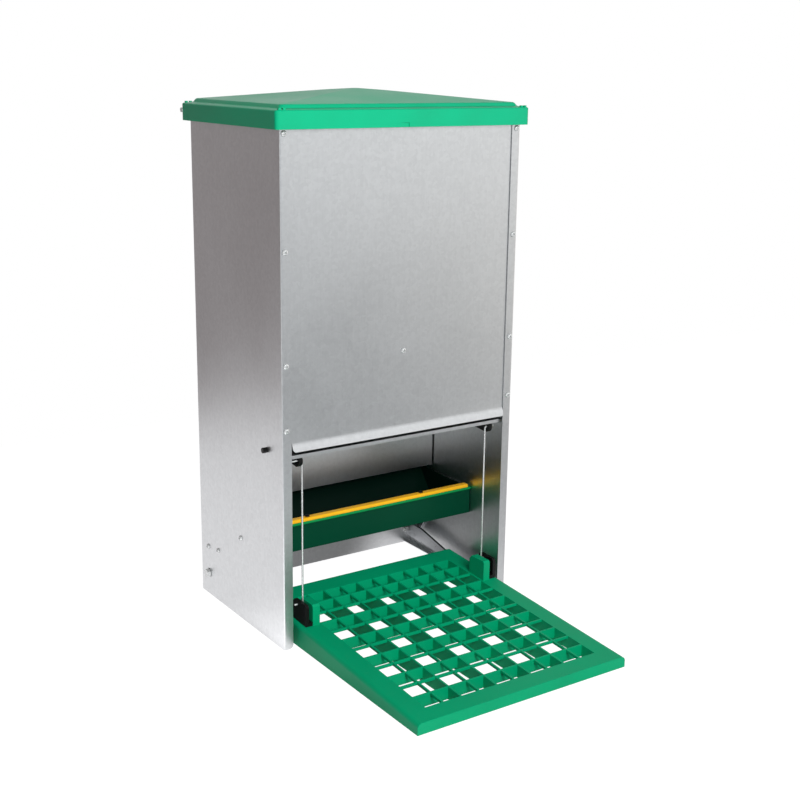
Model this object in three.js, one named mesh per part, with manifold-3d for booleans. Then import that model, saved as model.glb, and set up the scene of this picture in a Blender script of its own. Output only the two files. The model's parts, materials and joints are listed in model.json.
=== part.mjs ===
// Treadle chicken feeder: a galvanised sheet box with a hopper, a trough behind a swinging flap,
// a plastic lid and a plastic grid treadle that lifts the flap through two wire links.
// Millimetres, +Z up. The assembly is laid out with Y = 0 at the box's front face, Z = 0 on the
// ground and X = 0 on the middle plane, and stored with the treadle pressed down and the flap open.
import * as THREE from 'three';
import { mergeVertices } from 'three/addons/utils/BufferGeometryUtils.js';
import Module from 'manifold-3d';

const wasm = await Module();
wasm.setup();

// ---- driving dimensions ------------------------------------------------------------------
const BOX_HALF = 150;          // half the box's width
const BOX_DEPTH = 201;
const BOX_TOP = 562;           // top edge of the sheet panels
const SHEET = 1;
const GAP = 0.3;               // clearance between parts that touch
const FLANGE = 11;             // front and rear flanges of the side panels
const FOOT = 8;                // foot flange of the side panels
const BEND = 2;                // outer radius of a sheet bend
const PANEL_HALF = BOX_HALF - BEND - GAP;

const FRONT_PANEL_Y = SHEET + GAP;
const FRONT_BOTTOM = 231;      // where the front panel bends out into its lip
const LIP_BOTTOM = 220.5;
const LIP_OUT = 4.4;
const BACK_PANEL_Y = BOX_DEPTH - SHEET - GAP - SHEET;

const BAFFLE_HIGH = 303;       // the slope starts here on the front panel
const BAFFLE_Y = 150;
const BAFFLE_LOW = 207;
const BAFFLE_EDGE = 119;

const TROUGH_Y = 70;           // front face of the trough
const TROUGH_RIM = 112;
const TROUGH_FLOOR = 79;
const TROUGH_WALL = 2.5;
const TROUGH_BEAD = 1.8;       // how far the bead under the strip stands out
const TROUGH_HALF = 148.2;
const TROUGH_BACK = [197, 140];
const RIM_WIDTH = 8;
const STRIP_HEIGHT = 3.6;

const LID_OVERHANG = 7;
const LID_WALL = 2.5;
const LID_LOW = 549;
const LID_RIM = 567.5;
const LID_LEDGE = 569;
const LID_STEP = 572.7;
const LID_APEX = 585.6;
const LID_HALF = BOX_HALF + LID_OVERHANG;
const LID_BACK = BOX_DEPTH + LID_OVERHANG;
const LID_MID_Y = BOX_DEPTH / 2;
const LEDGE_INSET = 9;         // from the lid's edge to the foot of its raised panel
const PANEL_INSET = 12.2;      // and to the panel's upper edge
const LID_HINGE = [205, 560];  // Y, Z of the lid's hinge pins
const LID_PIN_R = 1.2;
const LID_PIN_HEAD_R = 2.6;
const EAR_RADIUS = 2.8;
const NOTCH_X = [-13, -1];     // finger notch under the front skirt
const NUB = 2.8;               // stacking nubs on the corners of the ledge

const FLAP_PIVOT = [35, 216];
const FLAP_HALF = 142;
const FLAP_HEM = [4.6, 214.8];
const FLAP_END = [134.5, 191]; // shuts just above the strip on the trough's rim
const FLAP_PIN_R = 2.2;
const FLAP_HEAD_R = 3;
const FLAP_HEAD_LENGTH = 5;
const LINK_HOOK = [10, 207];   // upper hook of the wire links, in the flap's levers
const LINK_FOOT = [10, 45];    // lower hook, in the treadle's clips
const LINK_X = 121.5;
const WIRE_R = 1;
const LEVER_X = [123.5, 127.5];
const LEVER_END = 52;
const CLIP_X = [124.5, 128.5];
const CLIP_Y = [-9, 19];
const CLIP_TOP = 49.5;
const LUG_X = [LINK_X - 10.4, LINK_X - 1.6];
const LUG_TOP = 48.5;
// slot for the upper hook: it takes up what the real linkage's arcs need
const SLOT_HALF = 1.8;
const SLOT_R = 1.75;
const SLOT_SHIFT = [1.58, 0.16];

const TREADLE_PIVOT = [182, 26.3];
const TREADLE_HALF = 132.7;
const TREADLE_FRONT = -225.2;
const TREADLE_REAR = 84;
const TREADLE_FRONT_H = 12.1;
const TREADLE_SLOPE = 0.0588;
const TREADLE_ROUND = 5;
const TREADLE_WALL = 2.4;
const GRID_PITCH = 22;
const GRID_COLUMNS = 10;
const GRID_ROWS = 12;
const GRID_BAR = 2.2;
const GRID_FRONT = -204.5;
const GRID_PLATE = 3;
const RIB_CLEAR = 1;           // full ribs end this far above the ground
const CROSS_RIB = 12.5;
const ARM_X = [133, 136];      // inner and outer face of a treadle arm
const EYE_R = 9;               // round ends of the arms and pivot plates
const PLATE_X = [146.4, 148.6];
const BOLT_R = 3;
const BOLT_END = 126.5;
const HEX_R = 5.6;             // nut, and flange of the bolt's head
const NUT_X = [128.2, 132.6];
const COIL_X = [137, 145.8];   // return springs
const COIL_R = [4.2, 6.4];
const SPRING_WIRE_R = 0.8;
const ARM_LEG = [151, 15.4];   // where the spring's leg hooks under the arm
const STAY_TOP = 66;

const SCREW_R = 1.6;
const SCREW_HOLE = 1.95;
const SEAT = 0.05;             // clearance under a screw's head
const FRONT_SCREW_Z = [244, 312.5, 429, 545];
const BACK_SCREW_Z = [90, 300, 530];
const SCREW_X = 145;           // screws in the flanges
const CENTRE_SCREW_Z = 312.5;
const TROUGH_SCREW = [98, 96.7];
const PLATE_SCREWS = [[181.7, 59.5], [155.7, 62.8]];
const ARM_SCREWS = [[42, 14], [72, 15]];
const STRIP_SCREW_X = 78;

const SIDES = [['left', -1], ['right', 1]];
const HOLE_SIDES = 8;
const CUT_X = [120, 160];      // reach of a cutter through a side wall

// ---- materials ---------------------------------------------------------------------------
function finish(color, roughness, metalness) {
  return new THREE.MeshStandardMaterial({ color, roughness, metalness });
}
const GALVANISED = finish(0xc3c8cb, 0.38, 0.9);
const ZINC = finish(0xd8d8d4, 0.3, 1);
const STEEL = finish(0xa9acae, 0.35, 1);
const DARK_STEEL = finish(0x3a3a3a, 0.45, 0.9);
const LID_GREEN = finish(0x23b481, 0.5, 0);
const TREADLE_GREEN = finish(0x00885a, 0.45, 0);
const TROUGH_GREEN = finish(0x0c5a41, 0.5, 0);
const YELLOW = finish(0xf0b428, 0.5, 0);
const BLACK = finish(0x141414, 0.5, 0);

// ---- shape helpers -----------------------------------------------------------------------
// A closed three.js geometry as a manifold solid.
function solid(geometry) {
  const bare = new THREE.BufferGeometry();
  bare.setAttribute('position', geometry.getAttribute('position').clone());
  if (geometry.index) bare.setIndex(geometry.index.clone());
  const merged = mergeVertices(bare, 1e-4);
  return new wasm.Manifold(new wasm.Mesh({
    numProp: 3,
    vertProperties: new Float32Array(merged.getAttribute('position').array),
    triVerts: new Uint32Array(merged.index.array),
  }));
}

function box(x, y, z) {
  const block = new THREE.BoxGeometry(x[1] - x[0], y[1] - y[0], z[1] - z[0]);
  block.translate((x[0] + x[1]) / 2, (y[0] + y[1]) / 2, (z[0] + z[1]) / 2);
  return solid(block);
}

function shapeOf(points) {
  return new THREE.Shape(points.map(([u, v]) => new THREE.Vector2(u, v)));
}

// An outline in (Y, Z), swept along X.
function prismX(outline, x0, x1) {
  const shape = outline instanceof THREE.Shape ? outline : shapeOf(outline);
  const swept = new THREE.ExtrudeGeometry(shape, { depth: x1 - x0, bevelEnabled: false, curveSegments: 6 });
  swept.translate(0, 0, x0);
  swept.applyMatrix4(new THREE.Matrix4().set(0, 0, 1, 0, 1, 0, 0, 0, 0, 1, 0, 0, 0, 0, 0, 1));
  return solid(swept);
}

// An outline in (X, Z), swept along Y.
function prismY(outline, y0, y1) {
  const shape = outline instanceof THREE.Shape ? outline : shapeOf(outline);
  const swept = new THREE.ExtrudeGeometry(shape, { depth: y1 - y0, bevelEnabled: false, curveSegments: 6 });
  swept.rotateX(Math.PI / 2);
  swept.translate(0, y1, 0);
  return solid(swept);
}

// An outline in (X, Y), swept along Z.
function prismZ(outline, z0, z1) {
  const shape = outline instanceof THREE.Shape ? outline : shapeOf(outline);
  const swept = new THREE.ExtrudeGeometry(shape, { depth: z1 - z0, bevelEnabled: false, curveSegments: 3 });
  swept.translate(0, 0, z0);
  return solid(swept);
}

// A round bar between two points.
function rod(from, to, radius, sides = 12) {
  const start = new THREE.Vector3(...from);
  const run = new THREE.Vector3(...to).sub(start);
  const bar = new THREE.CylinderGeometry(radius, radius, run.length(), sides);
  bar.translate(0, run.length() / 2, 0);
  const up = new THREE.Vector3(0, 1, 0);
  bar.applyQuaternion(new THREE.Quaternion().setFromUnitVectors(up, run.normalize()));
  bar.translate(...from);
  return solid(bar);
}

function ball(at, radius) {
  const sphere = new THREE.SphereGeometry(radius, 8, 5);
  sphere.translate(...at);
  return solid(sphere);
}

// The two X limits of something that reaches from x0 to x1 on the given side.
function span(side, x0, x1) {
  return [side * x0, side * x1].sort((a, b) => a - b);
}

function union(parts) {
  return parts.reduce((whole, part) => whole.add(part));
}

// The outline of a sheet of the given thickness bent along a centre line.
function bentSheet(line, thickness) {
  const offset = (side) => line.map((point, i) => {
    const before = line[Math.max(i - 1, 0)];
    const after = line[Math.min(i + 1, line.length - 1)];
    const into = i > 0 ? unit(before, point) : unit(point, after);
    const out = i < line.length - 1 ? unit(point, after) : into;
    const half = side * thickness / 2 / (1 + into[0] * out[0] + into[1] * out[1]);
    return [point[0] - half * (into[1] + out[1]), point[1] + half * (into[0] + out[0])];
  });
  return [...offset(1), ...offset(-1).reverse()];
}

function unit(a, b) {
  const length = Math.hypot(b[0] - a[0], b[1] - a[1]);
  return [(b[0] - a[0]) / length, (b[1] - a[1]) / length];
}

// A rounded rectangle as a ring of points, each corner an arc of the given number of steps.
function roundedRing(halfX, halfY, radius, steps, centreY = 0) {
  const ring = [];
  const corners = [[1, 1, 0], [-1, 1, 1], [-1, -1, 2], [1, -1, 3]];
  for (const [sx, sy, quarter] of corners) {
    for (let i = 0; i <= steps; i += 1) {
      const angle = (quarter + i / steps) * Math.PI / 2;
      ring.push([
        sx * (halfX - radius) + radius * Math.cos(angle),
        centreY + sy * (halfY - radius) + radius * Math.sin(angle),
      ]);
    }
  }
  return ring;
}

// A solid through rings of 3-D points, all with the same count and turning the same way.
function loft(rings) {
  const count = rings[0].length;
  const points = rings.flat(2);
  const faces = [];
  for (let level = 0; level < rings.length - 1; level += 1) {
    for (let i = 0; i < count; i += 1) {
      const j = (i + 1) % count;
      const a = level * count;
      const b = a + count;
      faces.push(a + i, a + j, b + j, a + i, b + j, b + i);
    }
  }
  const top = (rings.length - 1) * count;
  for (let i = 1; i < count - 1; i += 1) {
    faces.push(0, i + 1, i, top, top + i, top + i + 1);
  }
  const skin = new THREE.BufferGeometry();
  skin.setAttribute('position', new THREE.Float32BufferAttribute(points, 3));
  skin.setIndex(faces);
  return solid(skin);
}

const group = new THREE.Group();

function add(name, shape, material) {
  const { vertProperties, triVerts } = shape.getMesh();
  const skin = new THREE.BufferGeometry();
  skin.setAttribute('position', new THREE.BufferAttribute(vertProperties, 3));
  skin.setIndex(new THREE.BufferAttribute(triVerts, 1));
  skin.computeVertexNormals();
  const mesh = new THREE.Mesh(skin, material);
  mesh.name = name;
  group.add(mesh);
}

// ---- fasteners ---------------------------------------------------------------------------
// A pan-head screw: its head's underside at `at`, pointing along `out`, shank going the other way.
function screw(name, at, out, shank, material = ZINC, headR = 3.2, headH = 2) {
  const profile = [
    [0, -shank], [SCREW_R, 1.5 - shank], [SCREW_R, 0],
    [headR, 0], [headR * 0.85, headH * 0.7], [0, headH],
  ];
  const turned = new THREE.LatheGeometry(profile.map(([r, h]) => new THREE.Vector2(r, h)), 10);
  const up = new THREE.Vector3(0, 1, 0);
  turned.applyQuaternion(new THREE.Quaternion().setFromUnitVectors(up, new THREE.Vector3(...out)));
  turned.translate(...at);
  add(name, solid(turned), material);
}

// Cutters for holes along X in a side wall and along Y in a flange.
function holeX(side, [y, z], radius, sides = HOLE_SIDES) {
  return rod([side * CUT_X[0], y, z], [side * CUT_X[1], y, z], radius, sides);
}

function holeY([x, z], y0, y1, radius = SCREW_HOLE) {
  return rod([x, y0, z], [x, y1, z], radius, HOLE_SIDES);
}

// ---- box panels --------------------------------------------------------------------------
// C-section side panel: web, front and rear flanges, foot flange and an ear for the lid's pin.
function sidePanel(name, side) {
  const outer = side * BOX_HALF;
  const web = side * (BOX_HALF - SHEET);
  const edge = side * (BOX_HALF - FLANGE);
  const section = new THREE.Shape();
  const bendX = outer - side * BEND;
  section.moveTo(edge, 0);
  section.lineTo(bendX, 0);
  section.quadraticCurveTo(outer, 0, outer, BEND);
  section.lineTo(outer, BOX_DEPTH - BEND);
  section.quadraticCurveTo(outer, BOX_DEPTH, bendX, BOX_DEPTH);
  section.lineTo(edge, BOX_DEPTH);
  section.lineTo(edge, BOX_DEPTH - SHEET);
  section.lineTo(bendX, BOX_DEPTH - SHEET);
  section.lineTo(web, BOX_DEPTH - BEND);
  section.lineTo(web, BEND);
  section.lineTo(bendX, SHEET);
  section.lineTo(edge, SHEET);
  section.closePath();
  let panel = prismZ(section, 0, BOX_TOP);
  const foot = span(side, BOX_HALF - SHEET - FOOT, BOX_HALF - SHEET / 2);
  panel = panel.add(box(foot, [SHEET + GAP, BACK_PANEL_Y - GAP], [0, SHEET]));
  const [earY, earZ] = LID_HINGE;
  const ear = box(
    span(side, BOX_HALF - SHEET, BOX_HALF),
    [BOX_DEPTH - BEND, earY],
    [earZ - EAR_RADIUS, earZ + EAR_RADIUS - 0.8],
  ).add(rod([outer, earY, earZ], [web, earY, earZ], EAR_RADIUS, 20));
  panel = panel.add(ear);
  // rounded lower corner of the front flange
  const corner = 5;
  const centreX = edge + side * corner;
  const disc = rod([centreX, -2, corner], [centreX, 2, corner], corner, 32);
  const square = box(span(side, BOX_HALF - FLANGE - 1, Math.abs(centreX)), [-1, SHEET + 0.2], [-1, corner]);
  panel = panel.subtract(square.subtract(disc));
  const holes = [
    holeX(side, LID_HINGE, LID_PIN_R + GAP),
    holeX(side, FLAP_PIVOT, FLAP_PIN_R + GAP),
    holeX(side, TREADLE_PIVOT, BOLT_R + GAP),
    holeX(side, TROUGH_SCREW, SCREW_HOLE),
    ...PLATE_SCREWS.map((at) => holeX(side, at, SCREW_HOLE)),
    ...FRONT_SCREW_Z.map((z) => holeY([side * SCREW_X, z], -1, 2)),
    ...BACK_SCREW_Z.map((z) => holeY([side * SCREW_X, z], BOX_DEPTH - 2, BOX_DEPTH + 1)),
  ];
  add(name, panel.subtract(union(holes)), GALVANISED);
}

function flangeHoles(levels, y0, y1) {
  return union(SIDES.flatMap(([, side]) => levels.map((z) => holeY([side * SCREW_X, z], y0, y1))));
}

// Front panel behind the flanges, with a round-cornered lip bent out between them.
function frontPanel() {
  const back = FRONT_PANEL_Y + SHEET;
  const plate = box([-PANEL_HALF, PANEL_HALF], [FRONT_PANEL_Y, back], [FRONT_BOTTOM, BOX_TOP]);
  const lipHalf = BOX_HALF - FLANGE - 0.6;
  const middle = (FRONT_PANEL_Y + back) / 2;
  const lip = prismX(bentSheet([
    [middle, FRONT_BOTTOM + 4], [middle, FRONT_BOTTOM], [middle - LIP_OUT, LIP_BOTTOM],
  ], SHEET), -lipHalf, lipHalf);
  const round = new THREE.Shape();
  const r = 4.5;
  round.moveTo(-lipHalf, FRONT_BOTTOM + 6);
  round.lineTo(-lipHalf, LIP_BOTTOM + r);
  round.absarc(-lipHalf + r, LIP_BOTTOM - 0.4 + r, r, Math.PI, 1.5 * Math.PI, false);
  round.absarc(lipHalf - r, LIP_BOTTOM - 0.4 + r, r, 1.5 * Math.PI, 2 * Math.PI, false);
  round.lineTo(lipHalf, FRONT_BOTTOM + 6);
  round.closePath();
  const trimmed = lip.intersect(prismY(round, -10, 10));
  const holes = flangeHoles(FRONT_SCREW_Z, 0, 4).add(holeY([0, CENTRE_SCREW_Z], 0, 4));
  add('front_panel', plate.add(trimmed).subtract(holes), GALVANISED);
}

function backPanel() {
  const plate = box([-PANEL_HALF, PANEL_HALF], [BACK_PANEL_Y, BACK_PANEL_Y + SHEET], [0, BOX_TOP]);
  add('back_panel', plate.subtract(flangeHoles(BACK_SCREW_Z, BACK_PANEL_Y - 1, BOX_DEPTH)), GALVANISED);
}

// Hopper floor: fixed behind the front panel, slopes back and drops down over the trough.
function feedBaffle() {
  const flangeY = FRONT_PANEL_Y + SHEET + GAP + SHEET / 2;
  const line = [
    [flangeY, BAFFLE_HIGH + 22], [flangeY, BAFFLE_HIGH],
    [BAFFLE_Y, BAFFLE_LOW], [BAFFLE_Y, BAFFLE_EDGE],
  ];
  let baffle = prismX(bentSheet(line, SHEET), -PANEL_HALF, PANEL_HALF);
  for (const [, side] of SIDES) {
    const notch = span(side, SCREW_X - 4, BOX_HALF);
    baffle = baffle.subtract(box(notch, [0, 9], [BAFFLE_HIGH - 12, BAFFLE_HIGH + 30]));
  }
  add('feed_baffle', baffle.subtract(holeY([0, CENTRE_SCREW_Z], 0, 6)), GALVANISED);
}

// ---- trough ------------------------------------------------------------------------------
function trough() {
  const half = TROUGH_WALL / 2;
  const section = bentSheet([
    [TROUGH_Y + RIM_WIDTH, TROUGH_RIM - half], [TROUGH_Y + half, TROUGH_RIM - half],
    [TROUGH_Y + half, TROUGH_FLOOR + half], [BAFFLE_Y, TROUGH_FLOOR + half], TROUGH_BACK,
  ], TROUGH_WALL);
  const wall = [
    [TROUGH_Y, TROUGH_RIM], [TROUGH_Y, TROUGH_FLOOR], [BAFFLE_Y, TROUGH_FLOOR],
    [TROUGH_BACK[0], TROUGH_BACK[1] - 1], [TROUGH_BACK[0], TROUGH_BACK[1]], [BAFFLE_Y + 4, TROUGH_RIM],
  ];
  const bead = [
    [TROUGH_Y + 1, TROUGH_RIM], [TROUGH_Y - TROUGH_BEAD + 0.8, TROUGH_RIM],
    [TROUGH_Y - TROUGH_BEAD + 0.15, TROUGH_RIM - 0.6], [TROUGH_Y - TROUGH_BEAD, TROUGH_RIM - 1.4],
    [TROUGH_Y - TROUGH_BEAD + 0.3, TROUGH_RIM - 2.3], [TROUGH_Y, TROUGH_RIM - 3.4],
    [TROUGH_Y + 1, TROUGH_RIM - 3.4],
  ];
  let body = prismX(section, -TROUGH_HALF, TROUGH_HALF).add(prismX(bead, -TROUGH_HALF, TROUGH_HALF));
  for (const [, side] of SIDES) {
    const ends = span(side, TROUGH_HALF - TROUGH_WALL, TROUGH_HALF);
    body = body.add(prismX(wall, ...ends)).subtract(holeX(side, TROUGH_SCREW, SCREW_HOLE));
    body = body.subtract(stripHole(side));
  }
  add('trough', body, TROUGH_GREEN);
}

function stripHole(side) {
  const at = [side * STRIP_SCREW_X, TROUGH_Y + 4.6];
  return rod([...at, TROUGH_RIM - 10], [...at, TROUGH_RIM + 10], SCREW_HOLE);
}

// Bar along the trough's rim that keeps the hens from raking feed out.
function troughStrip() {
  const low = TROUGH_RIM + GAP;
  const high = low + STRIP_HEIGHT;
  const section = [
    [TROUGH_Y - 0.8, low], [TROUGH_Y + RIM_WIDTH, low], [TROUGH_Y + RIM_WIDTH, high - 0.8],
    [TROUGH_Y + RIM_WIDTH - 0.8, high], [TROUGH_Y + 0.4, high], [TROUGH_Y - 0.8, high - 1.2],
  ];
  const half = TROUGH_HALF - TROUGH_WALL - 1;
  const strip = prismX(section, -half, half);
  add('trough_edge_strip', strip.subtract(stripHole(-1)).subtract(stripHole(1)), YELLOW);
  for (const [word, side] of SIDES) {
    const seat = [side * STRIP_SCREW_X, TROUGH_Y + 4.6, high + SEAT];
    screw(`strip_screw_${word}`, seat, [0, 0, 1], 7, DARK_STEEL, 2.8, 1.8);
  }
}

// ---- lid ---------------------------------------------------------------------------------
// Rings of the lid's surface, pulled in by `wall` and lowered by `drop` for its hollow.
function lidRings(wall, drop) {
  const halfX = LID_HALF - wall;
  const halfY = BOX_DEPTH / 2 + LID_OVERHANG - wall;
  const ring = (inset, radius, z) => {
    const flat = roundedRing(halfX - inset, halfY - inset, Math.max(radius - wall, 0.8), 3, LID_MID_Y);
    return flat.map(([x, y]) => [x, y, z - drop]);
  };
  const rings = [
    ring(0, 4.5, wall ? LID_LOW : LID_LOW + drop),
    ring(0, 4.5, LID_RIM - 1),
    ring(1, 4, LID_RIM),
    ring(LEDGE_INSET, 4, LID_LEDGE),
    ring(PANEL_INSET - 1.2, 4, LID_STEP - 0.7),
    ring(PANEL_INSET, 4, LID_STEP),
  ];
  // four slopes that rise to a small rounded top
  const steps = 6;
  const reach = halfY - PANEL_INSET - 1.8;
  for (let i = 1; i <= steps; i += 1) {
    const t = i / steps;
    const far = PANEL_INSET + reach * t;
    const scale = (halfY - far) / (halfY - PANEL_INSET);
    const x = (halfX - PANEL_INSET) * scale;
    const rounded = 1 - 0.9 * (1 - t) ** 2 / 2 - 0.02 * (1 - t);
    const rise = (LID_APEX - LID_STEP) * Math.min(t * 1.04, rounded);
    rings.push(roundedRing(x, halfY - far, Math.max(3.5 * scale, 0.6), 3, LID_MID_Y)
      .map(([px, py]) => [px, py, LID_STEP + rise - drop]));
  }
  return rings;
}

function lid() {
  const hollow = lidRings(LID_WALL, LID_WALL);
  hollow[0] = hollow[0].map(([x, y]) => [x, y, LID_LOW - 1]);
  let shell = loft(lidRings(0, 0)).subtract(loft(hollow));
  // the rear skirt is short, so that it swings clear of the box
  const [earY, earZ] = LID_HINGE;
  const inside = LID_HALF - LID_WALL;
  shell = shell.subtract(box([-inside, inside], [earY, LID_BACK + 1], [0, earZ - 2.5]));
  for (const [, side] of SIDES) {
    const slot = span(side, BOX_HALF - SHEET - 0.8, BOX_HALF + 0.8);
    shell = shell.subtract(box(slot, [earY - 4, LID_BACK + 1], [earZ - 6, earZ + EAR_RADIUS + 0.9]));
    shell = shell.subtract(holeX(side, LID_HINGE, LID_PIN_R + GAP));
  }
  // finger notch under the front skirt, and pairs of stacking nubs on the ledge's corners
  const [notchLeft, notchRight] = NOTCH_X;
  const notch = [
    [notchLeft, LID_LOW - 9], [notchLeft + 1, LID_LOW + 4.6],
    [notchRight - 1, LID_LOW + 4.6], [notchRight, LID_LOW - 9],
  ];
  shell = shell.subtract(prismY(notch, -LID_OVERHANG - 1, -LID_OVERHANG + 1.1));
  for (const [, side] of SIDES) {
    for (const y of [-LID_OVERHANG + 3, LID_BACK - 3]) {
      for (const offset of [5, 10]) {
        const x = side * (LID_HALF - offset);
        const [halfNub, foot] = [NUB / 2, LID_RIM - 0.6];
        shell = shell.add(box([x - halfNub, x + halfNub], [y - halfNub, y + halfNub], [foot, LID_RIM + 2]));
      }
    }
  }
  add('lid', shell, LID_GREEN);
  for (const [word, side] of SIDES) {
    const seat = [side * (LID_HALF + GAP), earY, earZ];
    const pin = rod(seat, [side * (BOX_HALF - 4), earY, earZ], LID_PIN_R);
    const head = rod(seat, [side * (LID_HALF + 1.5), earY, earZ], LID_PIN_HEAD_R, 16);
    add(`lid_hinge_pin_${word}`, pin.add(head), ZINC);
  }
}

// ---- flap --------------------------------------------------------------------------------
function flap() {
  const [py, pz] = FLAP_PIVOT;
  const [hemY, hemZ] = FLAP_HEM;
  const line = [[hemY, hemZ - 3.3], [hemY, hemZ], [24, hemZ], [34, 210.4], FLAP_END];
  let sheet = prismX(bentSheet(line, SHEET), -FLAP_HALF, FLAP_HALF);
  const cheek = [[20, 214.6], [26, 224], [py + 8, 224], [62, 205.2], [34, 210.6], [24, 214.8]];
  for (const [, side] of SIDES) {
    sheet = sheet.add(prismX(cheek, ...span(side, FLAP_HALF - SHEET, FLAP_HALF)));
  }
  for (const [, side] of SIDES) {
    sheet = sheet.subtract(holeX(side, FLAP_PIVOT, FLAP_PIN_R + GAP, 16));
  }
  add('flap', sheet, GALVANISED);
  for (const [word, side] of SIDES) {
    const seat = [side * (BOX_HALF + GAP), py, pz];
    const pin = rod(seat, [side * (FLAP_HALF - 4), py, pz], FLAP_PIN_R, 16);
    const head = rod(seat, [side * (BOX_HALF + FLAP_HEAD_LENGTH), py, pz], FLAP_HEAD_R, 20);
    add(`flap_pivot_${word}`, pin.add(head), BLACK);
    flapLever(word, side);
  }
}

// Black lever under the flap, with the slot that the link's upper hook rides in.
function flapLever(word, side) {
  const [hookY, hookZ] = LINK_HOOK;
  const outline = new THREE.Shape();
  outline.moveTo(5.6, 213.8);
  outline.lineTo(5.6, 211);
  outline.lineTo(4.2, 209);
  outline.quadraticCurveTo(3.6, 201, 12, 200);
  outline.lineTo(26, 201.2);
  outline.lineTo(LEVER_END, 201.6);
  outline.lineTo(LEVER_END, 205.8);
  outline.lineTo(33.6, 209.4);
  outline.lineTo(23.6, 213.8);
  outline.closePath();
  const lean = Math.atan2(FLAP_PIVOT[1] - hookZ, FLAP_PIVOT[0] - hookY);
  const along = [Math.cos(lean) * SLOT_HALF, Math.sin(lean) * SLOT_HALF];
  const centre = [hookY + SLOT_SHIFT[0], hookZ + SLOT_SHIFT[1]];
  const ends = [1, -1].map((end) => [centre[0] + end * along[0], centre[1] + end * along[1]]);
  const slot = union(ends.map((at) => holeX(side, at, SLOT_R, 16)))
    .add(prismX(bentSheet(ends, 2 * SLOT_R), ...span(side, ...CUT_X)));
  add(`flap_lever_${word}`, prismX(outline, ...span(side, ...LEVER_X)).subtract(slot), BLACK);
}

// ---- links -------------------------------------------------------------------------------
function linkRods() {
  for (const [word, side] of SIDES) {
    const low = [side * LINK_X, ...LINK_FOOT];
    const high = [side * LINK_X, ...LINK_HOOK];
    const wire = union([
      rod([side * 132, ...LINK_FOOT], low, WIRE_R, 8), ball(low, WIRE_R),
      rod(low, high, WIRE_R, 8), ball(high, WIRE_R),
      rod(high, [side * 134, ...LINK_HOOK], WIRE_R, 8),
    ]);
    add(`link_rod_${word}`, wire, ZINC);
  }
}

// ---- treadle -----------------------------------------------------------------------------
function treadleTop(y) {
  return TREADLE_FRONT_H + TREADLE_SLOPE * (y - TREADLE_FRONT);
}

// The treadle's outer wedge: a rectangle with rounded top edges that grows towards the rear.
function treadleWedge() {
  const steps = 4;
  const ring = (y) => {
    const height = treadleTop(y);
    const half = [];
    for (let i = 0; i <= steps; i += 1) {
      const angle = i / steps * Math.PI / 2;
      half.push([
        TREADLE_HALF - TREADLE_ROUND * (1 - Math.cos(angle)),
        height - TREADLE_ROUND * (1 - Math.sin(angle)),
      ]);
    }
    const right = [[TREADLE_HALF, 0], ...half];
    const left = right.map(([x, z]) => [-x, z]).reverse();
    return [...right, ...left].map(([x, z]) => [x, y, z]);
  };
  return loft([ring(TREADLE_REAR), ring(TREADLE_FRONT)]);
}

function treadlePlate() {
  const wedge = treadleWedge();
  const inner = TREADLE_HALF - TREADLE_WALL;
  const front = TREADLE_FRONT + TREADLE_WALL;
  const rear = TREADLE_REAR - TREADLE_WALL;
  const roof = (y) => treadleTop(y) - GRID_PLATE;
  const hollow = [[front, -1], [front, roof(front)], [rear, roof(rear)], [rear, -1]];
  let plate = wedge.subtract(prismX(hollow, -inner, inner));
  const first = -GRID_COLUMNS * GRID_PITCH / 2;
  const length = GRID_ROWS * GRID_PITCH;
  const ribs = [];
  for (let column = 0; column <= GRID_COLUMNS; column += 2) {
    const x = first + column * GRID_PITCH;
    ribs.push(box([x - GRID_BAR / 2, x + GRID_BAR / 2], [GRID_FRONT, GRID_FRONT + length], [RIB_CLEAR, 60]));
  }
  const crossRows = [0, ...Array.from({ length: GRID_ROWS / 2 }, (_, i) => 2 * i + 1), GRID_ROWS];
  for (const row of crossRows) {
    const y = GRID_FRONT + row * GRID_PITCH;
    const full = row === 0 || row === GRID_ROWS;
    const low = Math.max(full ? RIB_CLEAR : treadleTop(y) - CROSS_RIB, 1.5);
    ribs.push(box([first, -first], [y - GRID_BAR / 2, y + GRID_BAR / 2], [low, 60]));
  }
  plate = plate.add(union(ribs).intersect(wedge));
  const cell = (GRID_PITCH - GRID_BAR) / 2;
  const cells = [];
  for (let row = 0; row < GRID_ROWS; row += 1) {
    for (let column = 0; column < GRID_COLUMNS; column += 1) {
      const x = first + (column + 0.5) * GRID_PITCH;
      const y = GRID_FRONT + (row + 0.5) * GRID_PITCH;
      cells.push(box([x - cell, x + cell], [y - cell, y + cell], [-5, 60]));
    }
  }
  plate = plate.subtract(wasm.Manifold.union(cells));
  for (const [, side] of SIDES) {
    plate = plate.add(treadleLug(side));
    for (const at of ARM_SCREWS) plate = plate.subtract(holeX(side, at, SCREW_HOLE));
  }
  add('treadle_plate', plate, TREADLE_GREEN);
}

// Moulded block beside each link clip.
function treadleLug(side) {
  const [front, rear] = CLIP_Y;
  const block = [
    [front, 22], [front, LUG_TOP - 2], [front + 2, LUG_TOP],
    [rear - 4, LUG_TOP], [rear, LUG_TOP - 4.5], [rear, 24],
  ];
  return prismX(block, ...span(side, ...LUG_X));
}

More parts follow.
